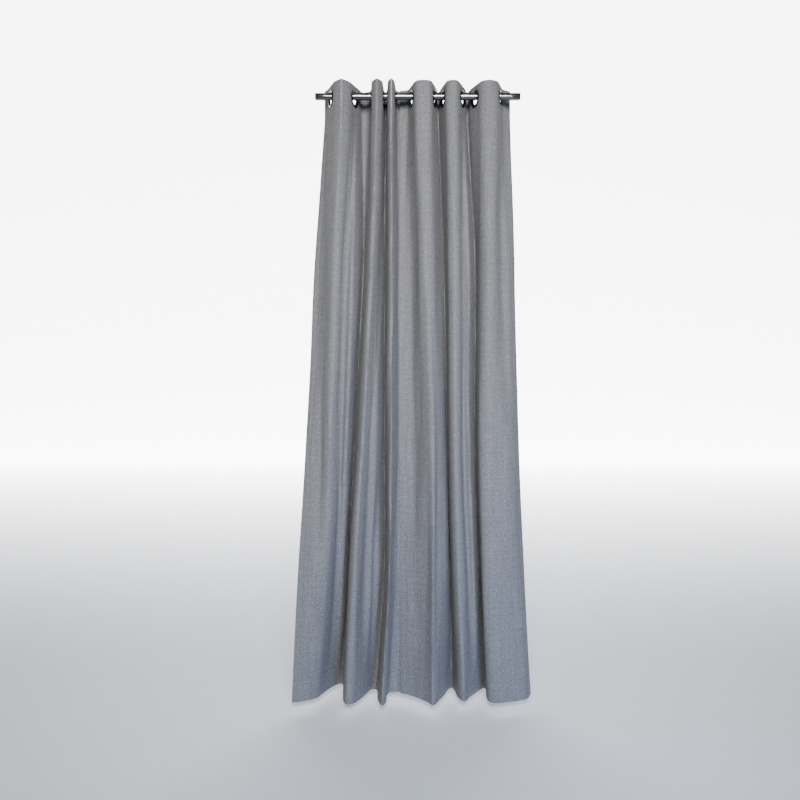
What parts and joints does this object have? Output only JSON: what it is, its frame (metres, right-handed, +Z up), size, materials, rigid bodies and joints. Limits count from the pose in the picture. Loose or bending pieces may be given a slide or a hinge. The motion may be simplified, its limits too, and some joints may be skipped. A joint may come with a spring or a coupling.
{
  "type": "eyelet curtain pair on pole",
  "caption": "Pair of floor-length linen-look fabric curtain panels with metal eyelets, hanging in soft folds on a dark polished steel pole; panels slide and gather.",
  "frame": {"origin": "middle of the pole, on its axis", "axes": "+X right along the pole as seen from the room, -Y towards the room, +Z up"},
  "size_m": [0.8365, 0.191, 2.134],
  "materials": {
    "linen_grey": "matt heathered linen-look weave",
    "tape_white": "stiff non-woven heading tape",
    "eyelet_metal": "dark polished metal eyelet",
    "pole_metal": "dark polished steel tube",
    "plug_grey": "dark moulded plastic"
  },
  "bodies": {
    "root": {"curtain_pole": "pole_metal", "left_end_plug": "plug_grey", "right_end_plug": "plug_grey"},
    "left_panel": {"left_panel_cloth": "linen_grey", "left_heading_tape": "tape_white", "left_eyelet_1_front": "eyelet_metal", "left_eyelet_1_back": "eyelet_metal"},
    "left_eyelet_6": {"left_eyelet_6_front": "eyelet_metal", "left_eyelet_6_back": "eyelet_metal"},
    "left_eyelet_5": {"left_eyelet_5_front": "eyelet_metal", "left_eyelet_5_back": "eyelet_metal"},
    "left_eyelet_4": {"left_eyelet_4_front": "eyelet_metal", "left_eyelet_4_back": "eyelet_metal"},
    "left_eyelet_3": {"left_eyelet_3_front": "eyelet_metal", "left_eyelet_3_back": "eyelet_metal"},
    "left_eyelet_2": {"left_eyelet_2_front": "eyelet_metal", "left_eyelet_2_back": "eyelet_metal"},
    "right_panel": {"right_panel_cloth": "linen_grey", "right_heading_tape": "tape_white", "right_eyelet_1_front": "eyelet_metal", "right_eyelet_1_back": "eyelet_metal"},
    "right_eyelet_6": {"right_eyelet_6_front": "eyelet_metal", "right_eyelet_6_back": "eyelet_metal"},
    "right_eyelet_5": {"right_eyelet_5_front": "eyelet_metal", "right_eyelet_5_back": "eyelet_metal"},
    "right_eyelet_4": {"right_eyelet_4_front": "eyelet_metal", "right_eyelet_4_back": "eyelet_metal"},
    "right_eyelet_3": {"right_eyelet_3_front": "eyelet_metal", "right_eyelet_3_back": "eyelet_metal"},
    "right_eyelet_2": {"right_eyelet_2_front": "eyelet_metal", "right_eyelet_2_back": "eyelet_metal"}
  },
  "joints": [
    {"name": "left_slide", "type": "slide", "parent": "root", "child": "left_panel", "axis": [-1, 0, 0], "range_m": [0, 0.03]},
    {"name": "left_gather", "type": "slide", "parent": "left_panel", "child": "left_eyelet_6", "axis": [-1, 0, 0], "range_m": [0, 0.09], "deforming": ["left_panel_cloth", "left_heading_tape"]},
    {"name": "left_eyelet_5_slide", "type": "slide", "parent": "left_panel", "child": "left_eyelet_5", "axis": [-1, 0, 0], "range_m": [0, 0.0797]},
    {"name": "left_eyelet_4_slide", "type": "slide", "parent": "left_panel", "child": "left_eyelet_4", "axis": [-1, 0, 0], "range_m": [0, 0.0737]},
    {"name": "left_eyelet_3_slide", "type": "slide", "parent": "left_panel", "child": "left_eyelet_3", "axis": [-1, 0, 0], "range_m": [0, 0.0571]},
    {"name": "left_eyelet_2_slide", "type": "slide", "parent": "left_panel", "child": "left_eyelet_2", "axis": [-1, 0, 0], "range_m": [0, 0.0335]},
    {"name": "right_slide", "type": "slide", "parent": "root", "child": "right_panel", "axis": [1, 0, 0], "range_m": [0, 0.05]},
    {"name": "right_gather", "type": "slide", "parent": "right_panel", "child": "right_eyelet_6", "axis": [1, 0, 0], "range_m": [0, 0.124], "deforming": ["right_panel_cloth", "right_heading_tape"]},
    {"name": "right_eyelet_5_slide", "type": "slide", "parent": "right_panel", "child": "right_eyelet_5", "axis": [1, 0, 0], "range_m": [0, 0.0925]},
    {"name": "right_eyelet_4_slide", "type": "slide", "parent": "right_panel", "child": "right_eyelet_4", "axis": [1, 0, 0], "range_m": [0, 0.0803]},
    {"name": "right_eyelet_3_slide", "type": "slide", "parent": "right_panel", "child": "right_eyelet_3", "axis": [1, 0, 0], "range_m": [0, 0.0535]},
    {"name": "right_eyelet_2_slide", "type": "slide", "parent": "right_panel", "child": "right_eyelet_2", "axis": [1, 0, 0], "range_m": [0, 0.0357]}
  ],
  "couplings": [
    {"joint": "left_eyelet_5_slide", "follows": "left_gather", "ratio": 0.88},
    {"joint": "left_eyelet_4_slide", "follows": "left_gather", "ratio": 0.81333},
    {"joint": "left_eyelet_3_slide", "follows": "left_gather", "ratio": 0.62889},
    {"joint": "left_eyelet_2_slide", "follows": "left_gather", "ratio": 0.36667},
    {"joint": "right_eyelet_5_slide", "follows": "right_gather", "ratio": 0.74194},
    {"joint": "right_eyelet_4_slide", "follows": "right_gather", "ratio": 0.64355},
    {"joint": "right_eyelet_3_slide", "follows": "right_gather", "ratio": 0.42742},
    {"joint": "right_eyelet_2_slide", "follows": "right_gather", "ratio": 0.28387}
  ]
}
